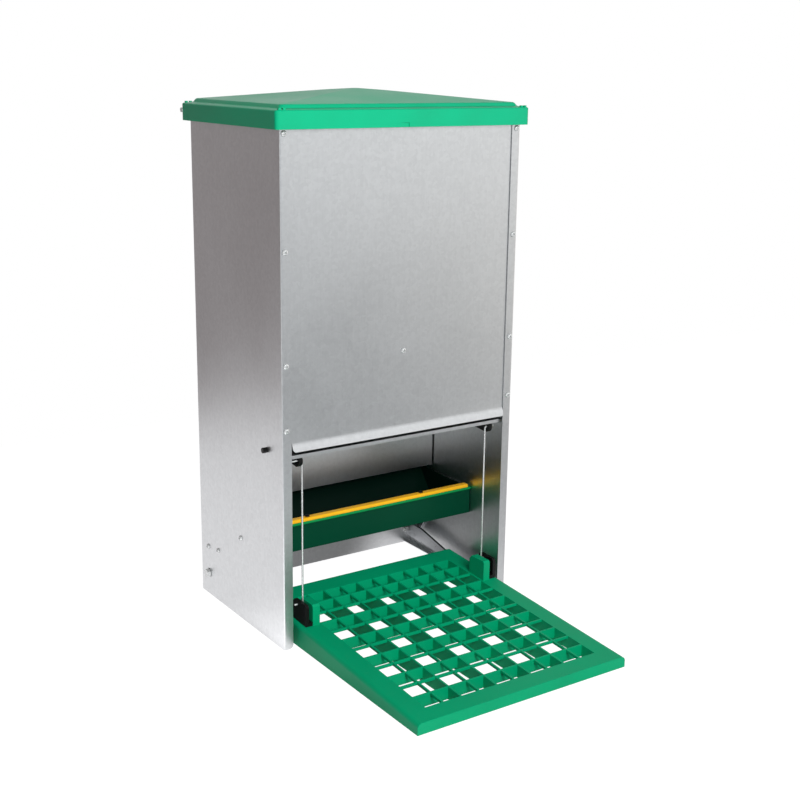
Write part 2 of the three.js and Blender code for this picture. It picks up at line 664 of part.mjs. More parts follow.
function treadleClips() {
  const [front, rear] = CLIP_Y;
  const frontLow = treadleTop(front) + GAP;
  const rearLow = treadleTop(rear) + GAP;
  const cheek = [
    [front, frontLow], [front, CLIP_TOP - 2.5], [front + 2.5, CLIP_TOP],
    [rear - 2.5, CLIP_TOP], [rear, CLIP_TOP - 3], [rear, rearLow],
  ];
  const tongue = [[front, frontLow], [front, frontLow + 4], [rear, rearLow + 4], [rear, rearLow]];
  for (const [word, side] of SIDES) {
    const clip = prismX(cheek, ...span(side, ...CLIP_X))
      .add(prismX(tongue, ...span(side, LINK_X - 1.2, CLIP_X[0] + 1)))
      .subtract(holeX(side, LINK_FOOT, WIRE_R + GAP, 12));
    add(`treadle_clip_${word}`, clip, BLACK);
  }
}

function treadleArms() {
  const [py, pz] = TREADLE_PIVOT;
  const outline = new THREE.Shape();
  outline.moveTo(28, 8);
  outline.lineTo(150, 17);
  outline.lineTo(py, pz - EYE_R);
  outline.absarc(py, pz, EYE_R, -Math.PI / 2, Math.PI / 2, false);
  outline.lineTo(150, 34);
  outline.lineTo(100, 23);
  outline.lineTo(28, 20);
  outline.closePath();
  for (const [word, side] of SIDES) {
    let arm = prismX(outline, ...span(side, ...ARM_X)).subtract(holeX(side, TREADLE_PIVOT, BOLT_R + GAP, 16));
    for (const at of ARM_SCREWS) arm = arm.subtract(holeX(side, at, SCREW_HOLE));
    add(`treadle_arm_${word}`, arm, STEEL);
    ARM_SCREWS.forEach(([y, z], i) => {
      const seat = [side * (ARM_X[1] + SEAT), y, z];
      screw(`arm_screw_${word}_${i + 1}`, seat, [side, 0, 0], 8, ZINC, 3.2, 1.8);
    });
  }
}

// ---- pivots ------------------------------------------------------------------------------
function pivotPlates() {
  const [py, pz] = TREADLE_PIVOT;
  const outline = new THREE.Shape();
  outline.moveTo(py + EYE_R, pz);
  outline.lineTo(py + EYE_R, 60);
  outline.quadraticCurveTo(py + EYE_R, 70, 180, 70.5);
  outline.lineTo(156, 72);
  outline.quadraticCurveTo(145, 71, 148, 60);
  outline.lineTo(py - EYE_R, pz - 3);
  outline.absarc(py, pz, EYE_R + 0.4, Math.PI + 0.32, 2 * Math.PI, false);
  outline.closePath();
  for (const [word, side] of SIDES) {
    const holes = [
      holeX(side, TREADLE_PIVOT, BOLT_R + GAP, 16),
      ...PLATE_SCREWS.map((at) => holeX(side, at, SCREW_HOLE)),
    ];
    const plate = prismX(outline, ...span(side, ...PLATE_X));
    add(`pivot_plate_${word}`, plate.subtract(union(holes)), STEEL);
  }
}

function pivotBolts() {
  const [py, pz] = TREADLE_PIVOT;
  for (const [word, side] of SIDES) {
    const head = side * (BOX_HALF + GAP);
    const bolt = rod([head, py, pz], [side * BOLT_END, py, pz], BOLT_R, 20)
      .add(rod([head, py, pz], [head + side * 0.8, py, pz], HEX_R, 24))
      .add(rod([head, py, pz], [head + side * 4, py, pz], HEX_R - 0.6, 6));
    add(`pivot_bolt_${word}`, bolt, ZINC);
    const nut = rod([side * NUT_X[1], py, pz], [side * NUT_X[0], py, pz], HEX_R, 6);
    add(`pivot_nut_${word}`, nut.subtract(holeX(side, TREADLE_PIVOT, BOLT_R + GAP, 16)), ZINC);
  }
}

// Torsion spring round each pivot bolt: the coil's outer shape with its two legs.
function returnSprings() {
  const [py, pz] = TREADLE_PIVOT;
  const [bore, outside] = COIL_R;
  for (const [word, side] of SIDES) {
    const [inX, outX] = [side * (COIL_X[0] + SPRING_WIRE_R), side * (COIL_X[1] - SPRING_WIRE_R)];
    const coil = rod([side * COIL_X[0], py, pz], [side * COIL_X[1], py, pz], outside, 20)
      .subtract(holeX(side, TREADLE_PIVOT, bore, 20));
    const elbow = [inX, ...ARM_LEG];
    const arm = rod([inX, py, pz - 5.4], elbow, SPRING_WIRE_R, 8)
      .add(ball(elbow, SPRING_WIRE_R))
      .add(rod(elbow, [side * (ARM_X[0] + 0.5), ...ARM_LEG], SPRING_WIRE_R, 8));
    const stay = rod([outX, py + 3.2, pz + 4.6], [outX, py + 3.2, STAY_TOP], SPRING_WIRE_R, 8);
    add(`return_spring_${word}`, union([coil, arm, stay]), STEEL);
  }
}

// ---- screws ------------------------------------------------------------------------------
function panelScrews() {
  for (const [word, side] of SIDES) {
    FRONT_SCREW_Z.forEach((z, i) => {
      screw(`front_screw_${word}_${i + 1}`, [side * SCREW_X, -SEAT, z], [0, -1, 0], 6.5);
    });
    BACK_SCREW_Z.forEach((z, i) => {
      screw(`back_screw_${word}_${i + 1}`, [side * SCREW_X, BOX_DEPTH + SEAT, z], [0, 1, 0], 6.5);
    });
    const face = side * (BOX_HALF + SEAT);
    screw(`trough_screw_${word}`, [face, ...TROUGH_SCREW], [side, 0, 0], 6.5);
    PLATE_SCREWS.forEach((at, i) => {
      screw(`plate_screw_${word}_${i + 1}`, [face, ...at], [side, 0, 0], 7.5, ZINC, 3);
    });
  }
  screw('baffle_screw', [0, FRONT_PANEL_Y - SEAT, CENTRE_SCREW_Z], [0, -1, 0], 6.5);
}

for (const [word, side] of SIDES) sidePanel(`${word}_side_panel`, side);
frontPanel();
backPanel();
feedBaffle();
trough();
troughStrip();
lid();
flap();
linkRods();
treadlePlate();
treadleClips();
treadleArms();
pivotPlates();
pivotBolts();
returnSprings();
panelScrews();

// origin: under the middle of the whole object's footprint
group.position.y = -(TREADLE_FRONT + LID_BACK) / 2;

export default group;
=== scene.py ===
"""Looks of the treadle chicken feeder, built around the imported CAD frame. Metres, +Z up."""
import json
import math

import bmesh
import bpy
from mathutils import Matrix, Vector


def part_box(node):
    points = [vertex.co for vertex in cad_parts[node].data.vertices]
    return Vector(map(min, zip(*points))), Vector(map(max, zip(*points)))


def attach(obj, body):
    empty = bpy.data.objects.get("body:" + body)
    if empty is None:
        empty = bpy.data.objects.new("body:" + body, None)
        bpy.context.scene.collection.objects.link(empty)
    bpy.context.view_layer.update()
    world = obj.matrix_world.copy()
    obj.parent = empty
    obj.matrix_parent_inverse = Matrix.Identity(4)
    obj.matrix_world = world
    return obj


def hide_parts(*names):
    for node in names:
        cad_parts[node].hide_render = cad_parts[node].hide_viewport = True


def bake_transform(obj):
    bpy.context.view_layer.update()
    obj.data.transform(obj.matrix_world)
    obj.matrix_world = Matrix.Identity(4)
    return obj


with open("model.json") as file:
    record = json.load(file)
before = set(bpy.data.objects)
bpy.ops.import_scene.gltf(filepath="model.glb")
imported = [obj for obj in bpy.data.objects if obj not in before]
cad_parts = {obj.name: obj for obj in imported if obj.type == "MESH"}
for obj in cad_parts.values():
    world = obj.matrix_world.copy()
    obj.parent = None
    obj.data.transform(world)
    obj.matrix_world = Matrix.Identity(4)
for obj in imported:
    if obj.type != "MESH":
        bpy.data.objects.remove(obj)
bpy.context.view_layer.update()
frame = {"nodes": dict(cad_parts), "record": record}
NODES = frame["nodes"]
MM = 0.001
SIDES = (("left", -1), ("right", 1))


def colour(hex_code):
    """A linear RGBA colour from an sRGB hex string."""
    channels = [int(hex_code[i:i + 2], 16) / 255 for i in (0, 2, 4)]
    return [c / 12.92 if c <= 0.04045 else ((c + 0.055) / 1.055) ** 2.4 for c in channels] + [1.0]


# ---- camera -------------------------------------------------------------------------------
VIEW_YAW = math.radians(34.24)      # round to the box's left
VIEW_PITCH = math.radians(14.38)    # looking down
VIEW_ROLL = math.radians(0.76)
LENS, SENSOR = 57.76, 36            # mm
SHIFT_UP = -0.0132
BOX_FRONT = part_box("left_side_panel")[0].y
CAMERA_PLACE = Vector((-0.7619, BOX_FRONT - 1.1126, 0.6152))


def make_camera():
    """The camera at the viewing angle, looking at the box from its front left."""
    data = bpy.data.cameras.new("camera")
    data.lens = LENS
    data.sensor_width = SENSOR
    data.shift_y = SHIFT_UP
    data.clip_start, data.clip_end = 0.05, 30
    camera = bpy.data.objects.new("camera", data)
    bpy.context.scene.collection.objects.link(camera)
    level = math.cos(VIEW_PITCH)
    forward = Vector((math.sin(VIEW_YAW) * level, math.cos(VIEW_YAW) * level, -math.sin(VIEW_PITCH)))
    right = Vector((math.cos(VIEW_YAW), -math.sin(VIEW_YAW), 0))
    up = right.cross(forward)
    rolled = right * math.cos(VIEW_ROLL) + up * math.sin(VIEW_ROLL)
    upright = up * math.cos(VIEW_ROLL) - right * math.sin(VIEW_ROLL)
    axes = Matrix((rolled, upright, -forward)).transposed()
    camera.matrix_world = Matrix.Translation(CAMERA_PLACE) @ axes.to_4x4()
    bpy.context.scene.camera = camera


# ---- node graphs --------------------------------------------------------------------------
class Graph:
    """Short words for building a node tree."""

    def __init__(self, tree):
        self.tree = tree

    def add(self, kind, links=(), **settings):
        node = self.tree.nodes.new(kind)
        for name, value in settings.items():
            setattr(node, name, value)
        for name, value in dict(links).items():
            self.set(node, name, value)
        return node

    def set(self, node, name, value):
        socket = node.inputs[name]
        if isinstance(value, bpy.types.NodeSocket):
            self.tree.links.new(value, socket)
        else:
            socket.default_value = value

    def math(self, operation, a, b):
        return self.add("ShaderNodeMath", {0: a, 1: b}, operation=operation).outputs[0]

    def noise(self, vector, scale, detail, roughness=0.5):
        links = {"Vector": vector, "Scale": scale, "Detail": detail, "Roughness": roughness}
        return self.add("ShaderNodeTexNoise", links).outputs["Fac"]

    def map(self, value, low, high, to_low, to_high, smooth=False):
        kind = "SMOOTHSTEP" if smooth else "LINEAR"
        links = {0: value, 1: low, 2: high, 3: to_low, 4: to_high}
        return self.add("ShaderNodeMapRange", links, interpolation_type=kind).outputs[0]

    def spread(self, noise, low, high):
        """Stretches the usual range of a noise onto low to high."""
        return self.map(noise, 0.3, 0.7, low, high)

    def product(self, *factors):
        total = factors[0]
        for factor in factors[1:]:
            total = self.math("MULTIPLY", total, factor)
        return total

    def mix(self, factor, a, b):
        node = self.add("ShaderNodeMix", data_type="RGBA")
        for index, value in ((0, factor), (6, a), (7, b)):
            self.set(node, index, value)
        return node.outputs[2]

    def vector(self, operation, a, b):
        return self.add("ShaderNodeVectorMath", {0: a, 1: b}, operation=operation).outputs[0]

    def dot(self, a, b):
        return self.add("ShaderNodeVectorMath", {0: a, 1: b}, operation="DOT_PRODUCT").outputs["Value"]

    def length(self, a):
        return self.add("ShaderNodeVectorMath", {0: a}, operation="LENGTH").outputs["Value"]

    def scale(self, a, factor):
        return self.add("ShaderNodeVectorMath", {0: a, "Scale": factor}, operation="SCALE").outputs[0]

    def axis(self, vector, name):
        return self.add("ShaderNodeSeparateXYZ", {0: vector}).outputs[name]

    def bump(self, height, strength, distance, normal=None):
        links = {"Height": height, "Strength": strength, "Distance": distance}
        if normal is not None:
            links["Normal"] = normal
        return self.add("ShaderNodeBump", links).outputs[0]


def new_material(name, metallic, base, gloss=0.5):
    """A Principled material and its graph, with its constant values on the shader's own sockets."""
    material = bpy.data.materials.new(name)
    material["slot"] = name
    material.use_nodes = True
    graph = Graph(material.node_tree)
    shader = material.node_tree.nodes["Principled BSDF"]
    shader.inputs["Metallic"].default_value = metallic
    shader.inputs["Base Color"].default_value = base
    shader.inputs["Specular IOR Level"].default_value = gloss
    place = graph.add("ShaderNodeTexCoord").outputs["Object"]
    return material, graph, shader, place


def scaled(base, factor):
    return [channel * factor for channel in base[:3]] + [1.0]


# ---- materials ----------------------------------------------------------------------------
def galvanised():
    """Hot-dipped sheet with a small spangle: crystal cells that differ in gloss and shade."""
    base = colour("dcdedf")
    material, graph, shader, place = new_material("galvanised_sheet", 1.0, base)
    warp = graph.noise(place, 260, 1)             # makes the cells' borders uneven
    moved = graph.vector("ADD", place, graph.vector("MULTIPLY", warp, (1.6 * MM,) * 3))
    cells = graph.add("ShaderNodeTexVoronoi", {"Vector": moved, "Scale": 300.0})
    cell = graph.add("ShaderNodeSeparateColor", {0: cells.outputs["Color"]})
    cloud = graph.noise(place, 11, 3)             # broad clouds
    rolling = graph.noise(graph.vector("MULTIPLY", place, (420, 420, 26)), 1, 2)    # streaks up the sheet
    grain = graph.noise(place, 1100, 3, 0.6)
    shade = graph.math("ADD", graph.map(cell.outputs[0], 0, 1, -0.028, 0.028),
                       graph.spread(cloud, -0.016, 0.016))
    shade = graph.math("ADD", shade, graph.map(rolling, 0.2, 0.8, -0.018, 0.018))
    mixed = graph.mix(graph.map(shade, -0.085, 0.085, 0, 1), scaled(base, 0.86), scaled(base, 1.06))
    graph.set(shader, "Base Color", mixed)
    gloss = graph.math("ADD", graph.map(cell.outputs[1], 0, 1, 0.335, 0.385),
                       graph.spread(cloud, -0.02, 0.02))
    graph.set(shader, "Roughness", graph.math("ADD", gloss, graph.spread(grain, -0.02, 0.02)))
    edge = graph.map(cells.outputs["Distance"], 0, 0.7, 1, 0)
    fine = graph.bump(graph.math("ADD", grain, edge), 0.07, 0.1 * MM)
    wave = graph.noise(place, 5.5, 1)             # thin sheet is never quite flat
    graph.set(shader, "Normal", graph.bump(wave, 0.35, 1.8 * MM, fine))
    return material


def plated(name, base, rough, grain_scale, streaks=(1, 1, 1), metal=1.0):
    """Zinc-plated, plain or blackened steel, with a soft mottling and fine scratches.

    The plating's white bloom is the share that isn't metal.
    """
    material, graph, shader, place = new_material(name, metal, base)
    mottle = graph.noise(place, grain_scale, 3)
    scratch = graph.noise(graph.vector("MULTIPLY", place, streaks), 900, 2, 0.7)
    mixed = graph.mix(graph.spread(mottle, 0, 1), scaled(base, 0.88), scaled(base, 1.05))
    graph.set(shader, "Base Color", mixed)
    gloss = graph.math("ADD", graph.spread(mottle, rough - 0.06, rough + 0.06),
                       graph.spread(scratch, -0.05, 0.05))
    graph.set(shader, "Roughness", gloss)
    graph.set(shader, "Normal", graph.bump(scratch, 0.12, 0.1 * MM))
    return material


def moulded(name, base, rough, shine=0.32, grain=0.12, dust=0.0):
    """Injection-moulded plastic: fine spark-eroded grain, soft flow clouds and pale worn specks."""
    material, graph, shader, place = new_material(name, 0.0, base, shine)
    cloud = graph.noise(place, 14, 3)
    fine = graph.noise(place, 1500, 2, 0.6)
    speck = graph.noise(place, 420, 4, 0.7)
    mixed = graph.mix(graph.spread(cloud, 0, 1), scaled(base, 0.93), scaled(base, 1.06))
    worn = graph.mix(graph.map(speck, 0.62, 0.78, 0, 0.25 + dust), mixed, scaled(base, 1.35))
    graph.set(shader, "Base Color", worn)
    gloss = graph.math("ADD", graph.spread(cloud, rough - 0.05, rough + 0.05),
                       graph.spread(fine, -0.04, 0.04))
    graph.set(shader, "Roughness", gloss)
    soft = graph.bump(cloud, 0.25, 0.6 * MM)
    graph.set(shader, "Normal", graph.bump(fine, grain, 0.12 * MM, soft))
    return material


# painted highlight on the trough's bead: where it starts below the strip's underside, and how far it fades
# in
BEAD_HEIGHT = 3.6 * MM         # from the strip's underside down to the bead's lower edge
BEAD_FADE = 0.6 * MM
PAINTED_SHADE_FADE = 10 * MM           # behind the strip, over which the painted shade inside the trough deepens


def trough_green():
    """The trough's dark green, with painted shade darkening its inside behind the strip and a painted
    highlight along the bead under the strip.
    """
    material = moulded("trough_plastic", colour("013d29"), 0.42, shine=0.13)
    graph = Graph(material.node_tree)
    base = material.node_tree.nodes["Principled BSDF"].inputs["Base Color"]
    base_green = base.links[0].from_socket
    coordinates = graph.add("ShaderNodeTexCoord")
    place = coordinates.outputs["Object"]
    strip_low, strip_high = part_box("trough_edge_strip")
    behind = graph.map(graph.axis(place, "Y"), strip_high.y, strip_high.y + PAINTED_SHADE_FADE, 0, 1)
    upward = graph.map(graph.axis(coordinates.outputs["Normal"], "Z"), -0.5, -0.2, 0, 1)
    bead = strip_low.z - BEAD_HEIGHT
    level = graph.map(graph.axis(place, "Z"), bead, bead + BEAD_FADE, 0, 1)
    outer = graph.math("SUBTRACT", 1.0, behind)
    # painted highlight: the outside in front of the strip, from the bead up, goes a lighter green
    bead_highlight = graph.mix(graph.product(level, outer), base_green, colour("128a4a"))
    # painted shade: the inside behind the strip, except faces turned downward, goes towards a near-black
    # green
    painted_shade = graph.mix(graph.product(behind, upward), bead_highlight, colour("03150f"))
    graph.tree.links.new(painted_shade, base)
    return material


def make_materials():
    """All the materials, by the slot that each one fills."""
    return {
        "galvanised_sheet": galvanised(),
        "zinc_plated_steel": plated("zinc_plated_steel", colour("e4e6e6"), 0.24, 160, metal=0.65),
        "plain_steel": plated("plain_steel", colour("c3c6c9"), 0.34, 120, streaks=(1, 1, 6)),
        "dark_steel": plated("dark_steel", colour("3b3a3a"), 0.4, 200),
        "lid_plastic": moulded("lid_plastic", colour("00a274"), 0.38),
        "treadle_plastic": moulded("treadle_plastic", colour("009768"), 0.5, 0.16, grain=0.2, dust=0.05),
        "trough_plastic": trough_green(),
        "yellow_plastic": moulded("yellow_plastic", colour("f2b41e"), 0.4),
        "black_plastic": moulded("black_plastic", colour("101010"), 0.42, shine=0.22),
    }


# ---- rounded edges ------------------------------------------------------------------------
EDGE_WIDTHS = {
    "galvanised_sheet": 0.22 * MM, "zinc_plated_steel": 0.2 * MM, "plain_steel": 0.25 * MM,
    "dark_steel": 0.2 * MM, "lid_plastic": 0.5 * MM, "treadle_plastic": 0.35 * MM,
    "trough_plastic": 0.5 * MM, "yellow_plastic": 0.4 * MM, "black_plastic": 0.4 * MM,
}
EDGE_ANGLE = 32                # degrees; sharper edges than this are rounded
FLAT_ANGLE = 0.3               # degrees; faces that meet at less than this become one
WELD_GAP = 0.01 * MM


def soften(piece, width, segments=3, angle=EDGE_ANGLE):
    """Rounds a piece's sharp edges and shades its flats evenly."""
    bevel = piece.modifiers.new("bevel", "BEVEL")
    bevel.width = width
    bevel.segments = segments
    bevel.limit_method = "ANGLE"
    bevel.angle_limit = math.radians(angle)
    bevel.miter_outer = "MITER_ARC"
    normals = piece.modifiers.new("normals", "WEIGHTED_NORMAL")
    normals.keep_sharp = False


def refine(piece, width):
    """Rounds the edges of a CAD node with modifiers; its own mesh keeps its shape."""
    mesh = piece.data
    for name in ("custom_normal", "sharp_edge", "sharp_face"):
        if name in mesh.attributes:
            mesh.attributes.remove(mesh.attributes[name])
    weld = piece.modifiers.new("weld", "WELD")
    weld.merge_threshold = WELD_GAP
    flat = piece.modifiers.new("flat", "DECIMATE")
    flat.decimate_type = "DISSOLVE"
    flat.angle_limit = math.radians(FLAT_ANGLE)
    soften(piece, width, segments=2)
    for polygon in mesh.polygons:
        polygon.use_smooth = True


def dress_nodes(materials):
    """Gives every CAD node its material and its rounded edges."""
    slots = {part["node"]: part["material_slot"] for part in frame["record"]["subparts"]}
    for name, piece in NODES.items():
        slot = slots[name]
        piece.data.materials.clear()
        piece.data.materials.append(materials[slot])
        refine(piece, EDGE_WIDTHS[slot])


# ---- new pieces ---------------------------------------------------------------------------
def place_piece(name, bm, material, body, node):
    """Turns a bmesh into a piece that rides on a body, if one is given, and stands for a CAD node."""
    bmesh.ops.recalc_face_normals(bm, faces=bm.faces)
    if bm.calc_volume(signed=True) < 0:
        bmesh.ops.reverse_faces(bm, faces=bm.faces)
    mesh = bpy.data.meshes.new(name)
    bm.to_mesh(mesh)
    bm.free()
    for polygon in mesh.polygons:
        polygon.use_smooth = True
    mesh.materials.append(material)
    piece = bpy.data.objects.new(name, mesh)
    bpy.context.scene.collection.objects.link(piece)
    if body:
        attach(piece, body)
    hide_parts(node)
    return piece


def columns(xs, ys, cell):
    """A closed mesh of upright columns on a grid of lines.

    cell(x, y) gives a column's (low, top) height functions at its middle, or None where it is open.
    Each wall also takes the heights that its neighbours use at its corners, so that all edges meet.
    """
    middles = {(i, j): cell((xs[i] + xs[i + 1]) / 2, (ys[j] + ys[j + 1]) / 2)
               for i in range(len(xs) - 1) for j in range(len(ys) - 1)}

    def level(key, corner, which):
        i, j = corner
        return round(middles[key][which](xs[i], ys[j]), DIGITS)

    def corners_of(i, j):
        return ((i, j), (i + 1, j), (i + 1, j + 1), (i, j + 1))

    heights = {}
    for (i, j), ends in middles.items():
        if ends:
            for corner in corners_of(i, j):
                heights.setdefault(corner, set()).update(level((i, j), corner, w) for w in (0, 1))
    bm = bmesh.new()
    made = {}

    def vertex(corner, z):
        key = (*corner, z)
        if key not in made:
            made[key] = bm.verts.new((xs[corner[0]], ys[corner[1]], z))
        return made[key]

    def wall(p, q, low_p, low_q, high_p, high_q):
        if high_p <= low_p and high_q <= low_q:
            return
        between_q = sorted(z for z in heights[q] if low_q < z < high_q)
        between_p = sorted((z for z in heights[p] if low_p < z < high_p), reverse=True)
        outline = [(p, low_p), (q, low_q), *[(q, z) for z in between_q], (q, high_q),
                   (p, high_p), *[(p, z) for z in between_p]]
        outline = list(dict.fromkeys(outline))
        if len(outline) > 2:
            bm.faces.new([vertex(*point) for point in outline])

    for (i, j), ends in middles.items():
        if not ends:
            continue
        corners = corners_of(i, j)
        for which in (0, 1):
            bm.faces.new([vertex(corner, level((i, j), corner, which)) for corner in corners])
        sides = ((i, j - 1), (i + 1, j), (i, j + 1), (i - 1, j))
        for p, q, beside in zip(corners, corners[1:] + corners[:1], sides):
            low = [level((i, j), corner, 0) for corner in (p, q)]
            top = [level((i, j), corner, 1) for corner in (p, q)]
            if not middles.get(beside):
                wall(p, q, *low, *top)
                continue
            other_low = [level(beside, corner, 0) for corner in (p, q)]
            other_top = [level(beside, corner, 1) for corner in (p, q)]
            wall(p, q, *low, *[min(t, max(l, o)) for t, l, o in zip(top, low, other_low)])
            wall(p, q, *[max(l, min(t, o)) for t, l, o in zip(top, low, other_top)], *top)
    return bm


# ---- treadle ------------------------------------------------------------------------------
PITCH = 22 * MM                # of the grid's bars
BAR = 2.2 * MM
GRID_COLUMNS, GRID_ROWS = 10, 12
GRID_START = 20.7 * MM         # from the treadle's front edge to the middle of the first bar
TREADLE_LENGTH = 309.2 * MM
TREADLE_FRONT_HEIGHT = 12.1 * MM
TREADLE_SLOPE = 0.0588
TREADLE_WALL = 2.4 * MM
TREADLE_ROUND = 5 * MM         # rounding of the long upper edges
ROUND_STEPS = 5
PLATE = 3 * MM
CROSS_RIB = 12.5 * MM          # depth of every second cross bar
RIB_CLEAR = 1 * MM             # between the deepest ribs and the ground
RIB_LOWEST = 2.2 * MM          # a cross rib that would end below this goes down to RIB_CLEAR
LUG_INNER, LUG_WIDTH = 111.1 * MM, 8.8 * MM
LUG_FROM_FRONT = 216.2 * MM
LUG_OUTLINE = ((0, 46.5), (2, 48.5), (24, 48.5), (28, 44))    # along Y, and height, in mm
DIGITS = 7                     # that grid lines and heights are rounded to, so that edges meet


def treadle(materials):
    """The moulded treadle: a wedge-shaped plate on four walls, with an open grid and two lugs."""
    low_corner, high_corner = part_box("treadle_plate")
    front, half = low_corner.y, high_corner.x
    rear = front + TREADLE_LENGTH
    grid_x = -GRID_COLUMNS * PITCH / 2
    grid_y = front + GRID_START
    lug_y = front + LUG_FROM_FRONT

    def top(x, y):
        """The upper surface, rounded down towards the long edges."""
        past = max(0.0, abs(x) - (half - TREADLE_ROUND))
        drop = TREADLE_ROUND - math.sqrt(max(TREADLE_ROUND ** 2 - past ** 2, 0.0))
        return TREADLE_FRONT_HEIGHT + TREADLE_SLOPE * (y - front) - drop

    def lug_top(x, y):
        along = (y - lug_y) / MM
        for (y0, z0), (y1, z1) in zip(LUG_OUTLINE, LUG_OUTLINE[1:]):
            if along <= y1 + 1e-6:
                return (z0 + (z1 - z0) * (along - y0) / (y1 - y0)) * MM
        return LUG_OUTLINE[-1][1] * MM

    def bar_index(value, start):
        """Which bar of the grid a place is on, or None between bars."""
        index = round((value - start) / PITCH)
        return index if abs(value - start - index * PITCH) < BAR / 2 else None

    def ground(x, y):
        return 0.0

    def under_plate(x, y):
        return top(0, y) - PLATE

    def rib_foot(x, y):
        return RIB_CLEAR

    def cross_foot(row_y):
        deep = top(0, row_y) - CROSS_RIB
        return lambda x, y: deep if deep > RIB_LOWEST else RIB_CLEAR

    def cell(x, y):
        if abs(x) > half - TREADLE_WALL or not front + TREADLE_WALL < y < rear - TREADLE_WALL:
            return ground, top
        if LUG_INNER < abs(x) < LUG_INNER + LUG_WIDTH and lug_y < y < lug_y + LUG_OUTLINE[-1][0] * MM:
            return under_plate, lug_top
        in_x = abs(x) < -grid_x + BAR / 2
        in_y = grid_y - BAR / 2 < y < grid_y + GRID_ROWS * PITCH + BAR / 2
        if not (in_x and in_y):
            return under_plate, top
        column, row = bar_index(x, grid_x), bar_index(y, grid_y)
        if column is None and row is None:
            return None
        if row in (0, GRID_ROWS) or (column is not None and column % 2 == 0):
            return rib_foot, top
        if row is not None and row % 2 == 1:
            return cross_foot(grid_y + row * PITCH), top
        return under_plate, top

    leans = [math.pi / 2 * i / ROUND_STEPS for i in range(ROUND_STEPS + 1)]
    edge_steps = [half - TREADLE_ROUND * (1 - math.sin(lean)) for lean in leans]
    right = [*edge_steps, half - TREADLE_WALL, LUG_INNER + LUG_WIDTH]
    bars_x = [grid_x + i * PITCH + s * BAR / 2 for i in range(GRID_COLUMNS + 1) for s in (-1, 1)]
    bars_y = [grid_y + i * PITCH + s * BAR / 2 for i in range(GRID_ROWS + 1) for s in (-1, 1)]
    walls_y = [front, front + TREADLE_WALL, rear - TREADLE_WALL, rear]
    lugs_y = [lug_y + along * MM for along, _ in LUG_OUTLINE]
    xs = sorted({round(x, DIGITS) for x in [*right, *[-x for x in right], *bars_x]})
    ys = sorted({round(y, DIGITS) for y in [*walls_y, *bars_y, *lugs_y]})
    bm = columns(xs, ys, cell)
    piece = place_piece("treadle_grid", bm, materials["treadle_plastic"], "treadle", "treadle_plate")
    soften(piece, EDGE_WIDTHS["treadle_plastic"])


# ---- round work ---------------------------------------------------------------------------
FACETS = 24                    # round a screw, bolt or nut
THREAD_STEPS = 6               # rings in each turn of a thread
THREAD_RIDGE = 0.3             # half the width of a thread's ridge, in pitches
TIP_WIDTH = 0.18               # of the thread's end, as a share of its full width
SCREW_EDGE, BOLT_EDGE = 0.08 * MM, 0.1 * MM
METAL_ANGLE = 40               # degrees; sharper edges than this are rounded on round work


def around(count):
    """The angles of evenly spread places on a circle."""
    return [2 * math.pi * i / count for i in range(count)]


def ring(bm, points):
    return [bm.verts.new(point) for point in points]


def skin(bm, lower, upper):
    """Quads between two rings with the same count."""
    for i in range(len(lower)):
        j = (i + 1) % len(lower)
        bm.faces.new((lower[i], lower[j], upper[j], upper[i]))


def skins(bm, loops):
    for lower, upper in zip(loops, loops[1:]):
        skin(bm, lower, upper)


def circle(radius, height):
    return [(radius * math.cos(angle), radius * math.sin(angle), height) for angle in around(FACETS)]


def cap(bm, loop, height):
    """Closes a ring with a fan to a point at its middle."""
    tip = bm.verts.new((0, 0, height))
    for i, vertex in enumerate(loop):
        bm.faces.new((vertex, loop[(i + 1) % len(loop)], tip))


def thread_rings(bm, start, end, core, crest, pitch, tip=0.0):
    """Rings of a helical thread from start down to end; the last stretch tapers over the tip length."""
    rows = max(2, round((start - end) / pitch * THREAD_STEPS))
    rings = []
    for row in range(rows + 1):
        z = start + (end - start) * row / rows
        taper = min(1.0, max(0.0, (z - end) / tip)) if tip else 1.0
        narrow = TIP_WIDTH + (1 - TIP_WIDTH) * taper ** 0.6
        fade = min(1.0, row / THREAD_STEPS)
        points = []
        for i, angle in enumerate(around(FACETS)):
            phase = (z / pitch + i / FACETS) % 1.0
            ridge = max(0.0, 1 - abs(phase - 0.5) / THREAD_RIDGE)
            radius = (core + (crest - core) * ridge * fade) * narrow
            points.append((radius * math.cos(angle), radius * math.sin(angle), z))
        rings.append(ring(bm, points))
    skins(bm, rings)
    return rings


# ---- screws -------------------------------------------------------------------------------
SCREW_CORE, SCREW_CREST, SCREW_PITCH = 1.25 * MM, 1.6 * MM, 1.25 * MM
SCREW_TIP = 1.8 * MM           # length that tapers
SCREW_POINT = 0.2 * MM
HEAD_STEPS = 7
HEAD_ARC = 0.78                # of a quarter turn, taken by the head's dome
HEAD_RIM = 0.12                # of the head's height, taken by its upright rim
HEAD_UNDERSIDE = 0.99          # of the head's radius
RECESS_MOUTH = (0.64, 0.17)    # reach and half width, in head radii
RECESS_FLOOR = (0.36, 0.1)
RECESS_LIP, RECESS_DEPTH = 0.02, 0.75    # of the head's height
SCREW_TURN = 2.4               # radians between one screw's recess and the next one's

# head radius, head height, and length under the head
SHEET_SCREW = (3.2 * MM, 2.0 * MM, 6.3 * MM)
PLATE_SCREW = (3.0 * MM, 2.0 * MM, 7.3 * MM)
ARM_SCREW = (3.2 * MM, 1.8 * MM, 7.8 * MM)
STRIP_SCREW = (2.8 * MM, 1.8 * MM, 6.8 * MM)


def cross_outline(reach, width, height):
    """The twelve corners of a cross recess."""
    points = []
    for angle in around(4):
        for along, across in ((reach, -width), (reach, width), (width, width)):
            points.append((along * math.cos(angle) - across * math.sin(angle),
                           along * math.sin(angle) + across * math.cos(angle), height))
    return points


